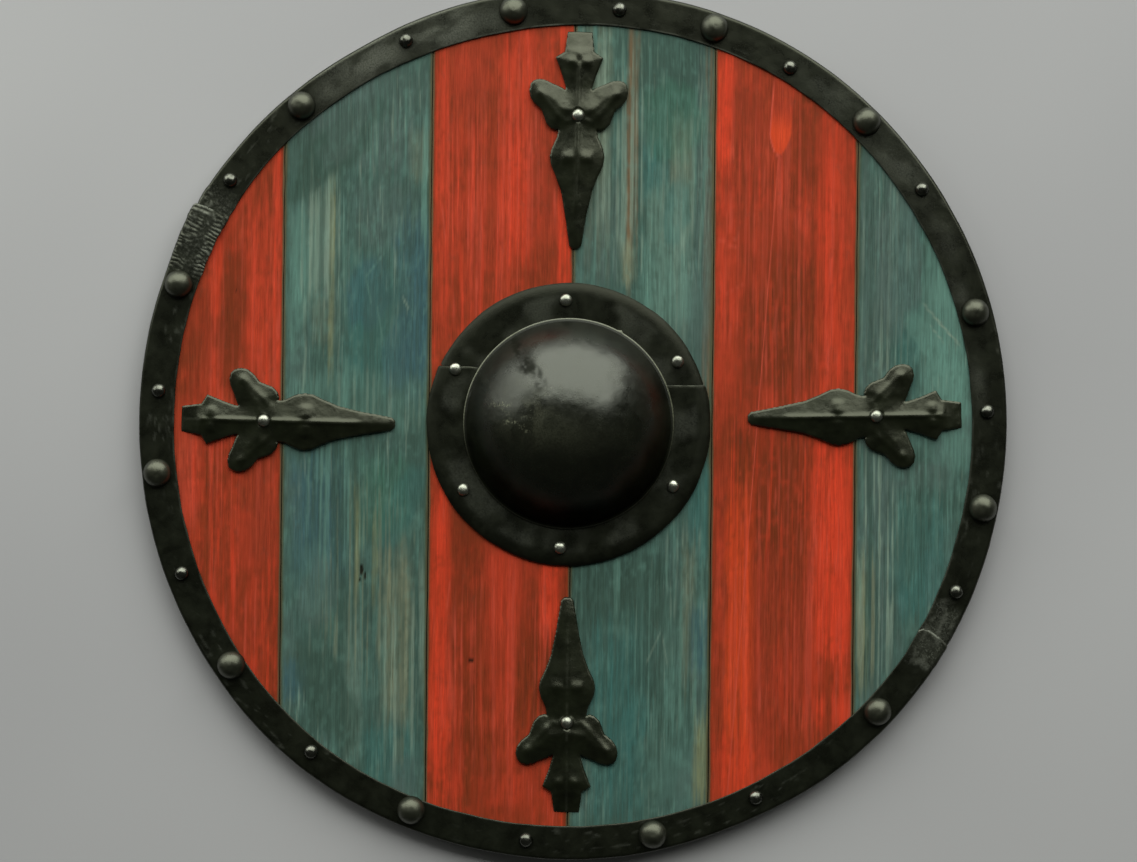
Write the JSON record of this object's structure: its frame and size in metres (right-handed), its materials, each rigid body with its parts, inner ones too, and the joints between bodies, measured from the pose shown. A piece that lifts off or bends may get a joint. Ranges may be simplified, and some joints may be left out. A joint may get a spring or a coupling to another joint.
{
  "type": "wooden round shield",
  "caption": "Round wooden plank shield in red and teal paint, with a studded iron rim, leaf-shaped iron straps set as a cross, and a hollow domed boss over a hand grip.",
  "frame": {"origin": "middle of the underside, level with the back of the rim, with the shield lying on its back", "axes": "+Z through the shield from its back to its painted front, +Y towards its top edge along the planks, +X towards its right-hand edge seen from the front"},
  "size_m": [0.6075, 0.6096, 0.0634],
  "materials": {
    "red_paint": "brushed red-orange paint, worn",
    "teal_paint": "brushed blue-green paint, worn to olive",
    "black_iron": "blackened sheet iron, satin",
    "strap_iron": "blackened forged iron, edges rubbed bright",
    "rivet_steel": "worn rivet heads",
    "grip_wood": "bare oiled wood"
  },
  "bodies": {
    "root": {"plank_1": "red_paint", "plank_3": "red_paint", "plank_5": "red_paint", "plank_2": "teal_paint", "plank_4": "teal_paint", "plank_6": "teal_paint", "rim_upper_right": "black_iron", "rim_lower_left": "black_iron", "boss_collar_upper": "black_iron", "boss_collar_lower": "black_iron", "boss_dome": "black_iron", "rim_stud_01": "black_iron", "rim_stud_02": "black_iron", "rim_stud_03": "black_iron", "rim_stud_04": "black_iron", "rim_stud_05": "black_iron", "rim_stud_06": "black_iron", "rim_stud_07": "black_iron", "rim_stud_08": "black_iron", "rim_stud_09": "black_iron", "rim_stud_10": "black_iron", "rim_stud_11": "black_iron", "rim_stud_12": "black_iron", "rim_rivet_01": "rivet_steel", "rim_rivet_02": "rivet_steel", "rim_rivet_03": "rivet_steel", "rim_rivet_04": "rivet_steel", "rim_rivet_05": "rivet_steel", "rim_rivet_06": "rivet_steel", "rim_rivet_07": "rivet_steel", "rim_rivet_08": "rivet_steel", "rim_rivet_09": "rivet_steel", "rim_rivet_10": "rivet_steel", "rim_rivet_11": "rivet_steel", "rim_rivet_12": "rivet_steel", "boss_rivet_01": "rivet_steel", "boss_rivet_02": "rivet_steel", "boss_rivet_03": "rivet_steel", "boss_rivet_04": "rivet_steel", "boss_rivet_05": "rivet_steel", "boss_rivet_06": "rivet_steel", "strap_top": "strap_iron", "strap_right": "strap_iron", "strap_bottom": "strap_iron", "strap_left": "strap_iron", "strap_rivet_top": "rivet_steel", "strap_rivet_right": "rivet_steel", "strap_rivet_bottom": "rivet_steel", "strap_rivet_left": "rivet_steel", "grip": "grip_wood"}
  },
  "joints": []
}
